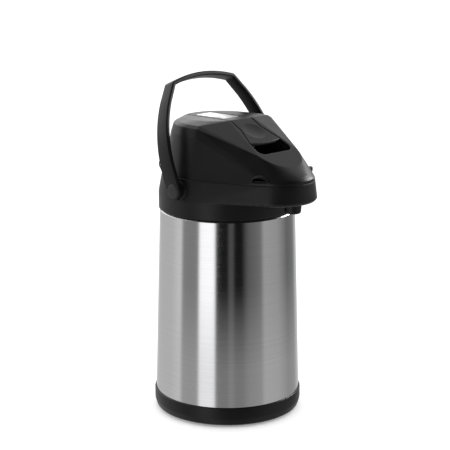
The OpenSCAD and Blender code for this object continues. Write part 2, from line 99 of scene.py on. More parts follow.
NECK_R = 36.7
LID_Z = box_mm("lid_shell")[0].z
HINGE_X = sum(c.x for c in box_mm("hinge_pin")) / 2
HINGE_Z = sum(c.z for c in box_mm("hinge_pin")) / 2
PIVOT_X = sum(c.x for c in box_mm("lever_pin")) / 2
PIVOT_Z = sum(c.z for c in box_mm("lever_pin")) / 2
HANDLE_Z = sum(c.z for c in box_mm("handle_pin_left")) / 2
HANDLE_HALF = box_mm("handle")[1].y

# The lid's top, its crease and its sloping face
CREASE_X = 20
CREASE_Z = 327.4
FACE_SLOPE = 0.53
CROWN_RISE = 0.013
TOP_X = -13.5
TOP_R = 38.3
FACE_X = 67.3
FACE_R = 31
FACE_HALF = 45.2
FACE_DROP = 6
FACE_TURN = 73
LEVER_HALF = 15
LIP_HALF = 22.5
LIP_X = 58.5
FLARE_X = 36
LIP_ARC_R = 110
LIP_REACH = 8
LEVER_GAP = 1.1
LEVER_DEEP = 7.8
LEVER_SKIN = 3
WELL_X = 74
WELL_HALF = 24.5
WELL_ROUND = 7

# Rings of (height, radius) up the lid and its nose. The lid's own end at this X, where the sloping face
# begins.
LID_R = 70.9
LID_RINGS = [(313.3, 61), (322, 58.2), (324.6, 53.6)]
LID_RINGS_END = 12
LID_EDGE = LID_Z + 0.6
LID_NOSE = [(LID_EDGE, 39.5), (272.6, 39.2), (274.8, 37.8), (277, 35.5)]

# Painted shade darkens the edges on both sides of the parting line over this height, forward of this X
GAP_SHADE = 0.7
GAP_BACK = -62

# The finger tabs on the nose's sides: arches that stand on the side wall, and the hollow under each
TAB_Z = 267.9
TAB_R = 11.4
TAB_WALL = 1.4
TAB_REACH = 6.5
TAB_ROUND = 12
TAB_LOW = 4.9
TAB_ALONG = 61
TAB_EMBED = 1.1
TAB_HOLLOW = 0.9
SIDE_DRAFT = 0.23
TAB_ROOT = LID_R - SIDE_DRAFT * (278 - LID_Z)

# The handle, in its own upright plane
STRAP = 4.8
STRAP_EDGE = 1.3
STRAP_HALF = 10
STRAP_TAPER = 2.8
HANDLE_LEAN = 21.5
HANDLE_REACH = 122.5
ARM_STRAIGHT = 22
ARM_R = 138
ARM_TURN = 33
ARCH_R = 159
CORNER_HALF = 46.6
CORNER_ROUND = 8


# ---------- Mesh helpers ----------

def add_mesh(name, verts, faces):
    """A smooth mesh object from points in millimetres."""
    mesh = bpy.data.meshes.new(name)
    mesh.from_pydata([Vector(v) * MM for v in verts], [], faces)
    obj = bpy.data.objects.new(name, mesh)
    bpy.context.scene.collection.objects.link(obj)
    bm = bmesh.new()
    bm.from_mesh(mesh)
    bmesh.ops.remove_doubles(bm, verts=bm.verts, dist=SAME_PLACE)
    bmesh.ops.recalc_face_normals(bm, faces=bm.faces)
    bm.to_mesh(mesh)
    bm.free()
    shade(obj, 40)
    return obj


def shade(obj, angle):
    """Smooth shading that keeps edges sharper than angle, in degrees."""
    mesh = obj.data
    mesh.polygons.foreach_set("use_smooth", [True] * len(mesh.polygons))
    mesh.set_sharp_from_angle(angle=math.radians(angle))


def apply_modifiers(obj):
    """Bakes an object's modifiers into its mesh."""
    graph = bpy.context.evaluated_depsgraph_get()
    mesh = bpy.data.meshes.new_from_object(obj.evaluated_get(graph))
    old = obj.data
    obj.modifiers.clear()
    obj.data = mesh
    bpy.data.meshes.remove(old)


def fillet(points, steps=5):
    """Rounds an outline's corners. A point is (a, b) where it stays sharp, or (a, b, radius)."""
    out = []
    count = len(points)
    for i, point in enumerate(points):
        here = Vector(point[:2])
        radius = point[2] if len(point) > 2 else 0
        if not radius:
            out.append(here)
            continue
        back = Vector(points[i - 1][:2]) - here
        ahead = Vector(points[(i + 1) % count][:2]) - here
        angle = back.angle(ahead)
        cut = min(radius / math.tan(angle / 2), 0.49 * back.length, 0.49 * ahead.length)
        start, end = here + back.normalized() * cut, here + ahead.normalized() * cut
        for k in range(steps + 1):
            t = k / steps
            out.append(start * (1 - t) ** 2 + here * 2 * t * (1 - t) + end * t ** 2)
    return out


def lathe(name, profile, sides=160, centre=(0, 0)):
    """A closed profile of (radius, height) turned about a vertical axis."""
    on_axis = 1e-6
    outline = fillet(profile)
    verts, faces, count = [], [], len(outline)
    for s in range(sides):
        a = math.tau * s / sides
        for r, z in outline:
            verts.append((centre[0] + r * math.cos(a), centre[1] + r * math.sin(a), z))
    for s in range(sides):
        for i in range(count):
            j, t = (i + 1) % count, (s + 1) % sides
            if outline[i].x < on_axis and outline[j].x < on_axis:
                continue
            quad = [s * count + i, t * count + i, t * count + j, s * count + j]
            if outline[i].x < on_axis:
                quad.pop(1)
            if outline[j].x < on_axis:
                quad.pop(-2 if len(quad) == 4 else -1)
            faces.append(quad)
    return add_mesh(name, verts, faces)


def skin(count, rows):
    """The faces of a closed tube through rows of count points each, with a cap at both ends."""
    faces = []
    for row in range(rows - 1):
        low, high = row * count, (row + 1) * count
        for i in range(count):
            j = (i + 1) % count
            faces.append([low + i, low + j, high + j, high + i])
    return faces + [list(range(count)), list(range((rows - 1) * count, rows * count))]


def prism(name, outline, low, high, axis="Z"):
    """An outline extruded from low to high along Z, or along Y when the outline is in X and Z."""
    place = {"Z": lambda p, h: (p[0], p[1], h), "Y": lambda p, h: (p[0], h, p[1])}[axis]
    verts = [place(p, h) for h in (low, high) for p in outline]
    return add_mesh(name, verts, skin(len(outline), 2))


def circle(radius, x=0.0, y=0.0, sides=96):
    """Points round a circle."""
    return [(x + radius * math.cos(math.tau * i / sides), y + radius * math.sin(math.tau * i / sides))
            for i in range(sides)]


def hull(name, points):
    """The convex hull of points in millimetres."""
    bm = bmesh.new()
    for p in points:
        bm.verts.new(Vector(p) * MM)
    bmesh.ops.remove_doubles(bm, verts=bm.verts, dist=SAME_PLACE)
    result = bmesh.ops.convex_hull(bm, input=bm.verts)
    inside = result["geom_interior"] + result["geom_unused"]
    spare = {e for e in inside if isinstance(e, bmesh.types.BMVert)}
    bmesh.ops.delete(bm, geom=list(spare), context="VERTS")
    bmesh.ops.recalc_face_normals(bm, faces=bm.faces)
    mesh = bpy.data.meshes.new(name)
    bm.to_mesh(mesh)
    bm.free()
    obj = bpy.data.objects.new(name, mesh)
    bpy.context.scene.collection.objects.link(obj)
    return obj


def combine(obj, others, operation):
    """Joins the other closed solids to obj, cuts them out of it, or keeps what it shares with them."""
    for other in others:
        step = obj.modifiers.new("combine", "BOOLEAN")
        step.operation = operation
        step.solver = "MANIFOLD"
        step.object = other
    apply_modifiers(obj)
    for other in others:
        mesh = other.data
        bpy.data.objects.remove(other)
        bpy.data.meshes.remove(mesh)
    return obj


def soften(obj, voxel, passes):
    """Turns a solid into an even mesh with a moulding's rounded edges, and keeps half its faces."""
    remesh = obj.modifiers.new("remesh", "REMESH")
    remesh.mode = "VOXEL"
    remesh.voxel_size = voxel * MM
    smooth = obj.modifiers.new("smooth", "SMOOTH")
    smooth.factor = 0.5
    smooth.iterations = passes
    thin = obj.modifiers.new("thin", "DECIMATE")
    thin.ratio = 0.5
    apply_modifiers(obj)
    shade(obj, 60)
    return obj


# ---------- Materials ----------

# A colour Mix node's sockets
MIX_A, MIX_B, MIX_RESULT = 6, 7, 2


def add_node(tree, kind, **values):
    """A new node; each value sets the socket of that name, or else the node's own setting."""
    made = tree.nodes.new(kind)
    for key, value in values.items():
        if key in made.inputs:
            made.inputs[key].default_value = value
        else:
            setattr(made, key, value)
    return made


def map_range(tree, start, end, low=0.0, high=1.0):
    """A node that maps start to end onto low to high."""
    made = tree.nodes.new("ShaderNodeMapRange")
    for name, value in zip(("From Min", "From Max", "To Min", "To Max"), (start, end, low, high)):
        made.inputs[name].default_value = value
    return made


class Shader:
    """A node material under construction."""

    def __init__(self, name, colour, rough, metal=0.0):
        self.material = bpy.data.materials.new(name)
        self.material.use_nodes = True
        self.tree = self.material.node_tree
        self.surface = self.tree.nodes["Principled BSDF"]
        self.surface.inputs["Base Color"].default_value = (*colour, 1)
        self.surface.inputs["Roughness"].default_value = rough
        self.surface.inputs["Metallic"].default_value = metal
        self.colour = colour
        self.rough = rough

    def node(self, kind, **values):
        return add_node(self.tree, kind, **values)

    def link(self, a, out, b, into):
        self.tree.links.new(a.outputs[out], b.inputs[into])

    def noise(self, stretch, detail=3.0):
        """Noise over the object's own place; stretch is how many times it repeats in a metre, by axis."""
        place = self.node("ShaderNodeTexCoord")
        scale = self.node("ShaderNodeMapping")
        scale.inputs["Scale"].default_value = stretch
        made = self.node("ShaderNodeTexNoise", Scale=1.0, Detail=detail)
        self.link(place, "Object", scale, "Vector")
        self.link(scale, "Vector", made, "Vector")
        return made

    def spread(self, source, low, high):
        """Maps a noise's middle range onto low to high."""
        made = map_range(self.tree, 0.3, 0.7, low, high)
        self.link(source, "Fac", made, "Value")
        return made

    def vary_rough(self, source, swing):
        """Lets the roughness wander by swing to either side."""
        wander = self.spread(source, self.rough - swing, self.rough + swing)
        self.link(wander, "Result", self.surface, "Roughness")

    def vary_colour(self, source, darker, lighter):
        """Lets the colour wander between two multiples of itself."""
        mix = self.node("ShaderNodeMix", data_type="RGBA")
        mix.inputs[MIX_A].default_value = (*[c * darker for c in self.colour], 1)
        mix.inputs[MIX_B].default_value = (*[c * lighter for c in self.colour], 1)
        self.link(self.spread(source, 0, 1), "Result", mix, "Factor")
        self.link(mix, MIX_RESULT, self.surface, "Base Color")

    def relief(self, layers):
        """Bump from (noise, height in metres) pairs, one on top of another."""
        last = None
        for source, height in layers:
            bump = self.node("ShaderNodeBump", Strength=1.0, Distance=height)
            self.link(source, "Fac", bump, "Height")
            if last:
                self.link(last, "Normal", bump, "Normal")
            last = bump
        self.link(last, "Normal", self.surface, "Normal")


def moulded_plastic(name, colour, rough, grain, depth):
    """Plastic with a spark-eroded grain, faint flow marks and a little wear in its gloss."""
    made = Shader(name, colour, rough)
    fine = made.noise((grain,) * 3, 2.0)
    broad = made.noise((28, 28, 40), 2.0)
    made.vary_rough(broad, 0.05)
    made.vary_colour(broad, 0.82, 1.2)
    made.relief([(broad, 0.00004), (fine, depth)])
    made.surface.inputs["Specular IOR Level"].default_value = 0.3
    return made.material


def brushed_metal(name, colour, rough, stretch, depth, anisotropic):
    """Metal with brushing lines; stretch is dense across the lines and slack along them."""
    made = Shader(name, colour, rough, 1.0)
    lines = made.noise(stretch, 4.0)
    streaks = made.noise([n / 5 for n in stretch], 3.0)
    made.vary_rough(lines, 0.03)
    made.vary_colour(streaks, 0.95, 1.03)
    made.relief([(lines, depth)])
    made.surface.inputs["Anisotropic"].default_value = anisotropic
    if anisotropic:
        turn = made.node("ShaderNodeTangent", direction_type="RADIAL", axis="Z")
        made.link(turn, "Tangent", made.surface, "Tangent")
    return made.material


def rubbery(name, colour, rough):
    """Soft rubber or silicone with a bloom on its surface."""
    made = Shader(name, colour, rough)
    bloom = made.noise((350, 350, 350), 4.0)
    made.vary_rough(bloom, 0.06)
    made.vary_colour(bloom, 0.88, 1.1)
    made.relief([(bloom, 0.00003)])
    return made.material


BODY_STEEL = brushed_metal("brushed_body", (0.68, 0.68, 0.69), 0.1, (10, 10, 4200), 0.0000009, 0.8)
STEEL = brushed_metal("steel_parts", (0.62, 0.62, 0.63), 0.24, (900, 900, 60), 0.000003, 0.0)
PLATE = brushed_metal("name_plate", (0.86, 0.86, 0.87), 0.36, (40, 3000, 40), 0.000003, 0.0)
BLACK = moulded_plastic("black_plastic", (0.0038, 0.0038, 0.004), 0.38, 2300, 0.00002)
# Painted shade: a near-black plastic, darker than the black plastic, laid on the faces of gaps, the hollows
# under the tabs and the finger well where shade falls
PAINTED_SHADE = moulded_plastic("painted_shade_plastic", (0.002, 0.002, 0.002), 0.6, 2300, 0.00002)
DARK = moulded_plastic("dark_plastic", (0.02, 0.02, 0.021), 0.45, 1500, 0.00003)
SILICONE = rubbery("silicone", (0.62, 0.61, 0.58), 0.55)
RUBBER = rubbery("foot_rubber", (0.03, 0.03, 0.03), 0.75)
SLOT_MATERIAL = {
    "brushed_body": BODY_STEEL,
    "steel_parts": STEEL,
    "name_plate": PLATE,
    "black_plastic": BLACK,
    "dark_plastic": DARK,
    "silicone": SILICONE,
    "foot_rubber": RUBBER,
}


def paint(piece, material):
    """Gives an object one material in place of any that it has."""
    piece.data.materials.clear()
    piece.data.materials.append(material)


def fit(piece, node, body, slot):
    """Gives a finished piece its material and its body, and hides the CAD node that it stands for."""
    paint(piece, SLOT_MATERIAL[slot])
    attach(piece, body)
    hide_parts(node)


# ---------- Base and steel body ----------

def make_base():
    pad = lathe("foot_pad_soft", [(0, 0.6), (PAD_R - 14, 0.6), (PAD_R - 12, 0, 1), (PAD_R - 0.3, 0, 0.8),
                                  (PAD_R - 0.3, PAD_H), (0, PAD_H)])
    fit(pad, "foot_pad", "airpot", "foot_rubber")
    cup = lathe("base_cup_moulded", [
        (0, PAD_H + 0.2), (PAD_R + 0.1, PAD_H + 0.2), (PAD_R + 0.1, 1.2), (74, 1.2, 1), (79.4, 3.6, 4),
        (BASE_R, 11, 6), (BASE_R, BASE_H, 0.9), (SHELL_R + 0.15, BASE_H, 0.3), (SHELL_R + 0.15, 8.6, 1),
        (77, 4, 1), (0, 4)])
    fit(cup, "base_cup", "airpot", "black_plastic")


def make_shell():
    low = SHELL_R - 0.1
    shell = lathe("outer_shell_brushed", [
        (low, SHELL_LOW), (low, 20), (SHELL_R, BASE_H), (SHELL_TOP_R, SHELL_HIGH - 0.1),
        (SHELL_TOP_R - SHEET, SHELL_HIGH - 0.1), (SHELL_R - SHEET, BASE_H), (low - SHEET, 20),
        (low - SHEET, SHELL_LOW)], sides=256)
    fit(shell, "outer_shell", "airpot", "brushed_body")


def make_nozzle():
    nozzle = lathe("spout_nozzle_moulded", [
        (5.02, NOSE_Z + 0.05), (5.02, NOSE_Z + 9), (7.5, NOSE_Z + 9), (7.5, NOSE_Z + 0.02),
        (9.4, NOSE_Z, 0.3), (8.75, SPOUT_Z + 1.6, 1), (7.9, SPOUT_Z, 0.9), (5.6, SPOUT_Z, 0.8),
        (3.7, SPOUT_Z + 4, 1), (3.7, NOSE_Z + 0.05)], sides=96, centre=(SPOUT_X, 0))
    fit(nozzle, "spout_nozzle", "airpot", "black_plastic")


# ---------- Collar ----------

def rings(levels, inset, x=0.0, sides=160):
    """Points of several horizontal circles; levels are (height, radius)."""
    return [(px, py, z) for z, r in levels for px, py in circle(r - inset, x, 0, sides)]


# Rings of (height, radius) up the collar's round band and up its nose
BAND = [(NOSE_Z, COLLAR_R), (253, 74.2), (262, 72.3), (PART_Z, 71)]
NOSE = [(NOSE_Z, 37), (NOSE_Z + 1, 40), (NOSE_Z + 3.5, 42), (258, 41), (PART_Z, 39.6)]


def collar_hull(name, inset, raise_by):
    """The collar's outside, or the hollow in it, which a raise opens at the top."""
    points = rings(BAND, inset) + rings(NOSE, inset, NOSE_X)
    if raise_by:
        points += rings([(PART_Z + raise_by, BAND[-1][1])], inset)
        points += rings([(PART_Z + raise_by, NOSE[-1][1])], inset, NOSE_X)
    return hull(name, points)


def rod(name, radius, y_low, y_high, x, z):
    """A cylinder along Y."""
    return prism(name, circle(radius, x, z, 64), y_low, y_high, "Y")


def outline_box(x_low, x_high, half):
    """A rectangle in plan, as wide to the left as to the right."""
    return [(x_low, -half), (x_high, -half), (x_high, half), (x_low, half)]


def paint_shade(piece, in_painted_shade):
    """Paints the faces whose middle passes the test with near-black painted shade, for the shade inside a
    gap or hollow.
    """
    piece.data.materials.append(PAINTED_SHADE)
    for face in piece.data.polygons:
        face.material_index = int(in_painted_shade(face.center / MM))


def make_collar():
    collar = collar_hull("collar_moulded", 0, 0)
    skirt = prism("skirt", circle(COLLAR_R, sides=160), COLLAR_LOW, NOSE_Z + 0.5)
    combine(collar, [skirt], "UNION")
    hollow = collar_hull("hollow", WALL, 1)
    above_deck = prism("above_deck", outline_box(-150, 150, 120), NOSE_Z + WALL, 320)
    combine(hollow, [above_deck], "INTERSECT")
    under = prism("under", circle(SHELL_TOP_R - 1.6, sides=160), COLLAR_LOW - 2, NOSE_Z)
    combine(collar, [hollow, under], "DIFFERENCE")
    web = [(HINGE_X - 4.6, 265.6), (HINGE_X + 2, 256), (-68.5, 252), (-68.5, HINGE_Z), (HINGE_X, HINGE_Z)]
    parts = [rod("boss", BOSS_R, side * BOSS_Y - BOSS_HALF, side * BOSS_Y + BOSS_HALF, 0, HANDLE_Z)
             for side in (-1, 1)]
    for side in (-1, 1):
        span = side * KNUCKLE_Y - KNUCKLE_HALF, side * KNUCKLE_Y + KNUCKLE_HALF
        parts.append(rod("knuckle", KNUCKLE_R, *span, HINGE_X, HINGE_Z))
        parts.append(prism("web", web, *span, "Y"))
    parts.append(prism("catch", outline_box(CATCH_X, CATCH_X + 3.6, CATCH_HALF), 266.2, 268.6))
    combine(collar, parts, "UNION")
    bores = [prism("neck", circle(NECK_R), NOSE_Z - 1, NOSE_Z + WALL + 1),
             prism("spout", circle(7.6, SPOUT_X, 0, 64), NOSE_Z - 1, NOSE_Z + WALL + 1),
             rod("pins", 4, -90, 90, 0, HANDLE_Z), rod("hinge", 2.5, -60, 60, HINGE_X, HINGE_Z)]
    combine(collar, bores, "DIFFERENCE")
    soften(collar, 0.7, 5)
    fit(collar, "collar", "airpot", "black_plastic")
    # Painted shade on the collar's faces just under the parting line, forward of GAP_BACK
    paint_shade(collar, lambda point: point.z > PART_Z - GAP_SHADE and point.x > GAP_BACK)


# ---------- Lid ----------

def face_z(x):
    """The sloping face's height at an X."""
    return CREASE_Z - FACE_SLOPE * (x - CREASE_X)


def crown_z(x):
    """The height of the lid's top at an X."""
    return CREASE_Z + CROWN_RISE * (x - CREASE_X)


def lid_hull(name, inset, drop):
    """The lid's outside, or the hollow in it, which a drop opens at the bottom."""
    low = LID_EDGE - drop
    points = rings([(low, LID_R)], inset) + rings([(low, LID_NOSE[0][1])], inset, NOSE_X)
    points += rings(LID_NOSE, inset, NOSE_X)
    points += [(x, y, z - inset) for x, y, z in rings(LID_RINGS, inset) if x < LID_RINGS_END]
    points += [(x, y, min(crown_z(x), face_z(x)) - inset) for x, y in circle(TOP_R - inset, TOP_X, 0, 160)]
    crease_half = math.sqrt(TOP_R ** 2 - (CREASE_X - TOP_X) ** 2)
    for side in (-1, 1):
        points.append((CREASE_X, side * (crease_half - inset), CREASE_Z - inset))
        points.append((CREASE_X, side * (FACE_HALF - inset), CREASE_Z - FACE_DROP - inset))
        for step in range(31):
            a = math.radians(FACE_TURN * (1 - step / 30))
            x = FACE_X + (FACE_R - inset) * math.cos(a)
            points.append((x, side * (FACE_R - inset) * math.sin(a), face_z(x) - inset))
    return hull(name, points)


def lever_outline(out):
    """The lever's outline in plan, set out by a gap: a strip that flares to a curved lip."""
    rear_r = TOP_R - 1.6 + out
    half = LEVER_HALF + out
    lip = LIP_HALF + out
    rear_a = math.asin(half / rear_r)
    lip_a = math.asin(lip / (LIP_ARC_R + out))
    rear = [(TOP_X - rear_r * math.cos(rear_a * (1 - k / 12)), -rear_r * math.sin(rear_a * (1 - k / 12)))
            for k in range(25)]
    front = [(LIP_X - LIP_ARC_R + (LIP_ARC_R + out) * math.cos(lip_a * (1 - k / 12)),
              (LIP_ARC_R + out) * math.sin(lip_a * (1 - k / 12))) for k in range(25)]
    return rear + [(FLARE_X, half)] + front + [(FLARE_X, -half)]


def well_outline():
    """The finger well's outline in plan."""
    back = LIP_X - 4.5
    x = WELL_X - WELL_ROUND
    y = WELL_HALF - WELL_ROUND
    r = WELL_ROUND
    turns = [math.radians(a) for a in range(0, 91, 10)]
    corners = [(x + r * math.sin(a), y + r * math.cos(a)) for a in turns]
    half = [(back, LIP_HALF)] + corners
    return half + [(px, -py) for px, py in reversed(half)]


def at_tab(side, point):
    """Places a point of a tab's own frame, X out of the side wall, Z up, at the middle of its arch."""
    lean = math.asin((LID_R - LID_NOSE[0][1]) / NOSE_X)
    turn = Matrix.Rotation(side * (math.pi / 2 - lean), 3, "Z")
    return turn @ (Vector(point) + Vector((TAB_ROOT, -side * TAB_ALONG, TAB_Z)))


def make_tab(side):
    """The curved finger tab on one side of the nose, as a closed solid."""
    first = math.asin(TAB_LOW / TAB_R)
    verts, faces, steps = [], [], 40
    for k in range(steps + 1):
        a = first + (math.pi - 2 * first) * k / steps
        for r in (TAB_R - TAB_WALL, TAB_R):
            y, z = r * math.cos(a), max(r * math.sin(a), TAB_LOW)
            front = max(TAB_REACH - TAB_ROUND + math.sqrt(TAB_ROUND ** 2 - y * y), 0.3)
            verts += [(-TAB_EMBED, y, z), (front, y, z)]
    for k in range(steps):
        b, n = 4 * k, 4 * k + 4
        for i, j in ((0, 1), (1, 3), (3, 2), (2, 0)):
            faces.append([b + i, b + j, n + j, n + i])
    faces += [[0, 1, 3, 2], [4 * steps, 4 * steps + 1, 4 * steps + 3, 4 * steps + 2]]
    return add_mesh("tab", [at_tab(side, v) for v in verts], faces)


def make_recess(side):
    """What is hollowed out of the side wall under a tab, as a closed solid."""
    r = TAB_R - TAB_WALL - 0.1
    first = math.asin(TAB_LOW / r)
    arch = [first + (math.pi - 2 * first) * k / 30 for k in range(31)]
    verts = [at_tab(side, (x, r * math.cos(a), r * math.sin(a))) for x in (-TAB_HOLLOW, 9) for a in arch]
    return add_mesh("recess", verts, skin(len(arch), 2))


def in_recess(point):
    """Whether a point in millimetres lies in the hollow under either tab."""
    for side in (-1, 1):
        middle = at_tab(side, (0, 0, 0))
        out = at_tab(side, (1, 0, 0)) - middle
        away = point - middle
        depth = away.dot(out)
        along = math.sqrt(max(away.x ** 2 + away.y ** 2 - depth ** 2, 0))
        inside = math.hypot(along, away.z) < TAB_R - TAB_WALL + 0.4 and away.z > TAB_LOW - 0.2
        if inside and -2 < depth < 0.35:
            return True
    return False


def make_lid():
    lid = lid_hull("lid_shell_moulded", 0, 0)
    combine(lid, [lid_hull("hollow", WALL, 2)], "DIFFERENCE")
    parts = [make_tab(side) for side in (-1, 1)]
    parts.append(rod("knuckle", KNUCKLE_R, -LID_KNUCKLE_HALF, LID_KNUCKLE_HALF, HINGE_X, HINGE_Z))
    web = [(HINGE_X, HINGE_Z), (HINGE_X + 4.8, LID_Z + 0.1), (-68.6, LID_Z + 0.1), (-67.2, 279),
           (HINGE_X - 2, HINGE_Z + 4.8)]
    parts.append(prism("web", web, -LID_KNUCKLE_HALF, LID_KNUCKLE_HALF, "Y"))
    combine(lid, parts, "UNION")
    cuts = [prism("slot", lever_outline(LEVER_GAP), 290, 350), prism("well", well_outline(), 284, 350),
            rod("hinge", 2.55, -40, 40, HINGE_X, HINGE_Z)]
    cuts += [make_recess(side) for side in (-1, 1)]
    combine(lid, cuts, "DIFFERENCE")
    soften(lid, 0.6, 4)
    fit(lid, "lid_shell", "lid", "black_plastic")
    # Painted shade in the hollows under the tabs and along the lid's lower edge at the parting line
    paint_shade(lid, lambda point: in_recess(point) or (point.z < LID_EDGE + GAP_SHADE and point.x > GAP_BACK))


# ---------- Lever ----------

def keep_between(solid, top, bottom):
    """Keeps what lies between two depths under the lid's crown and sloping face."""
    upper = [(-110, crown_z(-110)), (CREASE_X, CREASE_Z), (120, face_z(120))]
    outline = [(x, z - top) for x, z in upper] + [(x, z - bottom) for x, z in reversed(upper)]
    return combine(solid, [prism("slab", outline, -60, 60, "Y")], "INTERSECT")


def make_lever():
    lever = keep_between(prism("lever_moulded", lever_outline(0), 270, 350), 0, LEVER_DEEP)
    hollow = keep_between(prism("hollow", lever_outline(-2.2), 260, 360), LEVER_SKIN, 12)
    tilt = math.atan(FACE_SLOPE)
    dish_r, dish_x, dish_depth = 76, 40, 1.2
    rise = dish_r - dish_depth
    centre = Vector((dish_x + rise * math.sin(tilt), 0, face_z(dish_x) + rise * math.cos(tilt)))
    bowl = [(dish_r * math.sin(a / 40), -dish_r * math.cos(a / 40)) for a in range(1, 41)]
    dish = lathe("dish", [(0, -dish_r)] + bowl + [(0, -dish_r * math.cos(1))], 96)
    dish.data.transform(Matrix.Translation(centre * MM) @ Matrix.Rotation(tilt, 4, "Y"))
    recess = keep_between(prism("recess", outline_box(-38, 6, 11), 300, 360), -5, 0.4)
    under_lip = outline_box(LIP_X - LIP_REACH, LIP_X + 12, 40)
    reach = keep_between(prism("reach", under_lip, 260, 360), LEVER_SKIN, 12)
    combine(lever, [hollow, reach, dish, recess], "DIFFERENCE")
    barrel = rod("barrel", 4.4, -14, 14, PIVOT_X, PIVOT_Z)
    web = prism("web", [(PIVOT_X - 3, PIVOT_Z), (PIVOT_X + 3, PIVOT_Z), (PIVOT_X + 3, PIVOT_Z + 6),
                        (PIVOT_X - 3, PIVOT_Z + 6)], -14, 14, "Y")
    combine(lever, [barrel, web], "UNION")
    combine(lever, [rod("bore", 2.05, -30, 30, PIVOT_X, PIVOT_Z)], "DIFFERENCE")
    soften(lever, 0.45, 4)
    fit(lever, "lever", "pump_lever", "black_plastic")


def make_plate():
    """The blank plate let into the lever's strip."""
    centre_x, half_x, half_y, corner = -16, 21.8, 10.8, 1.6
    outline = []
    for sx, sy, start in ((1, 1, 0), (-1, 1, 90), (-1, -1, 180), (1, -1, 270)):
        for a in range(start, start + 91, 15):
            t = math.radians(a)
            outline.append((centre_x + sx * (half_x - corner) + corner * math.cos(t),
                            sy * (half_y - corner) + corner * math.sin(t)))
    rows = ((0, -0.4), (0, 0.05), (0.15, 0.2))
    verts = []
    for inset, lift in rows:
        for x, y in outline:
            shrink_x, shrink_y = 1 - inset / half_x, 1 - inset / half_y
            verts.append((centre_x + (x - centre_x) * shrink_x, y * shrink_y, crown_z(x) + lift))
    plate = add_mesh("name_plate_blank", verts, skin(len(outline), len(rows)))
    fit(plate, "name_plate", "pump_lever", "name_plate")


# ---------- Handle ----------

def handle_outline():
    """The strap's outer line from one pivot over the top to the other, as (y, height above the pivots)."""
    arm = [(HANDLE_HALF, -10), (HANDLE_HALF, ARM_STRAIGHT)]
    for step in range(1, 23):
        a = math.radians(ARM_TURN * step / 22)
        arm.append((HANDLE_HALF - ARM_R * (1 - math.cos(a)), ARM_STRAIGHT + ARM_R * math.sin(a)))

    def arch_height(y):
        return HANDLE_REACH - ARCH_R + math.sqrt(ARCH_R ** 2 - y * y)

    corner = (CORNER_HALF, arch_height(CORNER_HALF), CORNER_ROUND)
    arch = [(CORNER_HALF * (1 - k / 12), arch_height(CORNER_HALF * (1 - k / 12))) for k in range(1, 12)]
    half = fillet(arm + [corner] + arch, 8)
    line = half + [Vector((0, HANDLE_REACH))]
    return line + [Vector((-p.x, p.y)) for p in reversed(half)]


def resample(line, step):
    """Points spaced evenly along a line."""
    out, left = [line[0]], step
    for a, b in zip(line, line[1:]):
        length = (b - a).length
        while left <= length:
            out.append(a + (b - a) * (left / length))
            left += step
        left -= length
    out.append(line[-1])
    return out


def make_handle():
    """A strap with rounded edges, swept along its outline and narrower towards the top."""
    line = resample(handle_outline(), 1.5)
    verts = []
    section = 24
    for i, here in enumerate(line):
        ahead = line[min(i + 1, len(line) - 1)] - line[max(i - 1, 0)]
        inward = Vector((ahead.y, -ahead.x)).normalized()
        if inward.dot(Vector((0, 60)) - here) < 0:
            inward.negate()
        height = here.y
        if height < 0:
            half = math.sqrt(max(STRAP_HALF ** 2 - height ** 2, 0.6))
        else:
            half = STRAP_HALF - STRAP_TAPER * height / (HANDLE_REACH + 2)
        middle = here + inward * STRAP / 2
        radius = min(STRAP_EDGE, half * 0.9)
        for k in range(section):
            a = math.tau * (k + 0.5) / section
            cx = math.copysign(half - radius, math.cos(a)) + radius * math.cos(a)
            cn = math.copysign(STRAP / 2 - radius, math.sin(a)) + radius * math.sin(a)
            flat = middle + inward * cn
            verts.append((cx, flat.x, flat.y))
    handle = add_mesh("handle_strap", verts, skin(section, len(line)))
    lean = Matrix.Translation((0, 0, HANDLE_Z * MM)) @ Matrix.Rotation(math.radians(-HANDLE_LEAN), 4, "Y")
    handle.data.transform(lean)
    fit(handle, "handle", "carry_handle", "black_plastic")


def make_cap(side, node):
    """The shallow dome over one of the handle's pivots."""
    rim, rise = 7.6, 1.36
    profile = [(0, 0), (rim, 0), (rim, 0.25)]
    profile += [(rim * math.cos(math.radians(a)), 0.25 + (rise - 0.25) * math.sin(math.radians(a)))
                for a in range(15, 91, 15)]
    cap = lathe(node + "_domed", profile, 64)
    cap.data.transform(Matrix.Rotation(math.radians(-90 * side), 4, "X"))
    cap.data.transform(Matrix.Translation(Vector((0, side * HANDLE_HALF, HANDLE_Z)) * MM))
    fit(cap, node, "carry_handle", "dark_plastic")


# ---------- Pieces with the CAD's own shape ----------

CAD_SHARP = 35           # degrees: the CAD's edges keep sharp above this


def make_closing(node, slot):
    """A copy of a CAD solid that closes up between the lid's floor and the push plate."""
    source = frame["nodes"][node]
    mesh = source.data.copy()
    mesh.transform(source.matrix_world)
    piece = bpy.data.objects.new(node + "_closing", mesh)
    bpy.context.scene.collection.objects.link(piece)
    paint(piece, SLOT_MATERIAL[slot])
    shade(piece, CAD_SHARP)
    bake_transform(piece)
    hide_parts(node)


# ---------- The whole airpot ----------

make_base()
make_shell()
make_nozzle()
make_collar()
make_lid()
make_lever()
make_plate()
make_handle()
make_cap(1, "handle_cap_left")
make_cap(-1, "handle_cap_right")

slots = {part["node"]: part["material_slot"] for part in frame["record"]["subparts"]}
for node in ("bellows", "bellows_spring"):
    make_closing(node, slots[node])
# Every CAD node gets its slot's material, except the well tray, which gets painted shade as a shaded hollow
for node, obj in frame["nodes"].items():
    paint(obj, PAINTED_SHADE if node == "well_tray" else SLOT_MATERIAL[slots[node]])
    shade(obj, CAD_SHARP)


# ---------- Floor, light and camera ----------

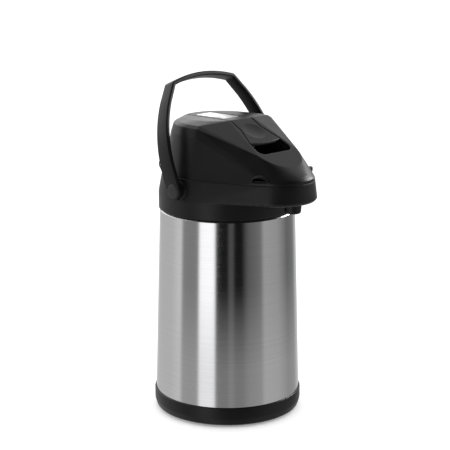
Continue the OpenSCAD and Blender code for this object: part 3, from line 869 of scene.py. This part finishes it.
def make_floor():
    floor = lathe("floor", [(0, -3), (300, -3), (300, 0), (0, 0)], 96)
    paper = Shader("floor_paper", (0.94, 0.94, 0.94), 0.8)
    paper.relief([(paper.noise((400, 400, 400)), 0.00002)])
    paper.surface.inputs["Emission Color"].default_value = (1, 1, 1, 1)
    paper.surface.inputs["Emission Strength"].default_value = 0.25
    # Reflections see the studio's own far floor instead, which has no edge
    rays = paper.node("ShaderNodeLightPath")
    clear = paper.node("ShaderNodeBsdfTransparent")
    mix = paper.node("ShaderNodeMixShader")
    end = paper.tree.nodes["Material Output"]
    paper.link(rays, "Is Glossy Ray", mix, 0)
    paper.tree.links.new(paper.surface.outputs["BSDF"], mix.inputs[1])
    paper.tree.links.new(clear.outputs["BSDF"], mix.inputs[2])
    paper.link(mix, "Shader", end, "Surface")
    floor.data.materials.append(paper.material)


# Degrees from the spout's direction round to the right side, where the photograph's camera stands
VIEW_AZIMUTH = 45

# What the polished surfaces reflect, as (degrees, brightness): 0 is where the photograph's camera stands,
# and more is to its right. The bands are fixed to the studio, so other views see them from elsewhere.
# Steel reflects the ones just under the horizon, and the head's plastic reflects the ones above it.
LOW_BANDS = [
    (-180, 0.75), (-152, 0.4), (-105, 0.43), (-84, 0.56), (-78, 0.2), (-50, 0.18), (-46, 1.0), (-22, 1.05),
    (-18, 0.005), (0, 0.005), (3, 0.07), (9, 0.07), (12, 0.005), (24, 0.005), (34, 0.09), (57, 0.15),
    (63, 0.32), (92, 0.28), (118, 0.12), (140, 0.16), (158, 0.45)]
HIGH_BANDS = [
    (-180, 1.6), (-150, 1), (-112, 1.15), (-85, 0.6), (-60, 0.12), (-30, 0.08), (0, 0.01), (60, 0.01),
    (80, 0.12), (110, 0.3), (150, 0.4), (170, 0.8)]

# The rise of a direction, from -1 straight down to 1 straight up, over which the low bands give way to the
# high ones, and over which the far floor's own glow comes in
BANDS_MEET = (0.03, 0.2)
GLOW_FROM = (-0.245, -0.32)
GLOW_SHARE = 0.4
GLOW_TONE = 0.45
LAMPS_STRENGTH = 1.4
PALE_STRENGTH = 1.25


def make_world():
    """A pale studio all round, with the darker gaps between its lamps that polished steel shows."""
    world = bpy.data.worlds.new("studio")
    bpy.context.scene.world = world
    world.use_nodes = True
    tree = world.node_tree
    tree.nodes.clear()

    link = tree.links.new

    def bands(angle, values):
        ramp = add_node(tree, "ShaderNodeValToRGB")
        points = ramp.color_ramp.elements
        while len(points) > 1:
            points.remove(points[-1])
        for i, (degrees, value) in enumerate(values):
            point = points[0] if i == 0 else points.new(1)
            point.position = (degrees + 180) / 360
            point.color = (value, value, value, 1)
        link(angle.outputs["Result"], ramp.inputs["Fac"])
        return ramp.outputs["Color"]

    place = add_node(tree, "ShaderNodeTexCoord")
    turn = add_node(tree, "ShaderNodeMapping", Rotation=(0, 0, math.radians(-VIEW_AZIMUTH)))
    split = add_node(tree, "ShaderNodeSeparateXYZ")
    minus = add_node(tree, "ShaderNodeMath", operation="MULTIPLY")
    minus.inputs[1].default_value = -1
    angle = add_node(tree, "ShaderNodeMath", operation="ARCTAN2")
    scale = map_range(tree, -math.pi, math.pi)
    link(place.outputs["Generated"], turn.inputs["Vector"])
    link(turn.outputs["Vector"], split.inputs["Vector"])
    link(split.outputs["Y"], minus.inputs[0])
    link(split.outputs["X"], angle.inputs[0])
    link(minus.outputs["Value"], angle.inputs[1])
    link(angle.outputs["Value"], scale.inputs["Value"])

    # The far floor glows a little more the lower one looks
    glow = map_range(tree, *GLOW_FROM, 0, GLOW_SHARE)
    low = add_node(tree, "ShaderNodeMix", data_type="RGBA")
    low.inputs[MIX_B].default_value = (GLOW_TONE, GLOW_TONE, GLOW_TONE, 1)
    link(split.outputs["Z"], glow.inputs["Value"])
    link(glow.outputs["Result"], low.inputs["Factor"])
    link(bands(scale, LOW_BANDS), low.inputs[MIX_A])

    rise = map_range(tree, *BANDS_MEET)
    both = add_node(tree, "ShaderNodeMix", data_type="RGBA")
    link(split.outputs["Z"], rise.inputs["Value"])
    link(rise.outputs["Result"], both.inputs["Factor"])
    link(low.outputs[MIX_RESULT], both.inputs[MIX_A])
    link(bands(scale, HIGH_BANDS), both.inputs[MIX_B])

    # Only glossy rays see the lamps; the camera and the soft light see a plain pale studio
    lamps = add_node(tree, "ShaderNodeBackground", Strength=LAMPS_STRENGTH)
    pale = add_node(tree, "ShaderNodeBackground", Color=(1, 1, 1, 1), Strength=PALE_STRENGTH)
    rays = add_node(tree, "ShaderNodeLightPath")
    open_air = add_node(tree, "ShaderNodeMath", operation="MAXIMUM")
    mix = add_node(tree, "ShaderNodeMixShader")
    out = add_node(tree, "ShaderNodeOutputWorld")
    link(both.outputs[MIX_RESULT], lamps.inputs["Color"])
    link(rays.outputs["Is Camera Ray"], open_air.inputs[0])
    link(rays.outputs["Is Diffuse Ray"], open_air.inputs[1])
    link(open_air.outputs["Value"], mix.inputs["Fac"])
    link(lamps.outputs["Background"], mix.inputs[1])
    link(pale.outputs["Background"], mix.inputs[2])
    link(mix.outputs["Shader"], out.inputs["Surface"])


def make_lamp(name, place, aim, size, power):
    """A softbox at a place, aimed at a point, with its width and height, all in metres, and its watts."""
    data = bpy.data.lights.new(name, "AREA")
    data.shape = "RECTANGLE"
    data.size, data.size_y = size
    data.energy = power
    lamp = bpy.data.objects.new(name, data)
    lamp.location = place
    lamp.rotation_euler = (Vector(aim) - Vector(place)).to_track_quat("-Z", "Y").to_euler()
    lamp.visible_diffuse = False
    bpy.context.scene.collection.objects.link(lamp)


def make_camera():
    """The photograph's view: a long lens that looks slightly down, between the spout and the right side."""
    elevation, distance, height = 13.48, 1.6, 0.20703
    a, e = math.radians(VIEW_AZIMUTH), math.radians(elevation)
    back = Vector((math.sin(a) * math.cos(e), -math.cos(a) * math.cos(e), math.sin(e)))
    data = bpy.data.cameras.new("camera")
    data.sensor_width = 36
    data.lens = 116.28
    data.shift_x = -0.0055
    camera = bpy.data.objects.new("camera", data)
    camera.location = Vector((0, 0, height)) + back * distance
    camera.rotation_euler = (-back).to_track_quat("-Z", "Y").to_euler()
    bpy.context.scene.collection.objects.link(camera)
    bpy.context.scene.camera = camera


make_floor()
make_world()
make_lamp("right_softbox", (0.28, 1.09, 0.68), (0.08, 0, 0.28), (0.6, 0.5), 10)
make_camera()
bpy.context.scene.view_settings.view_transform = "Standard"
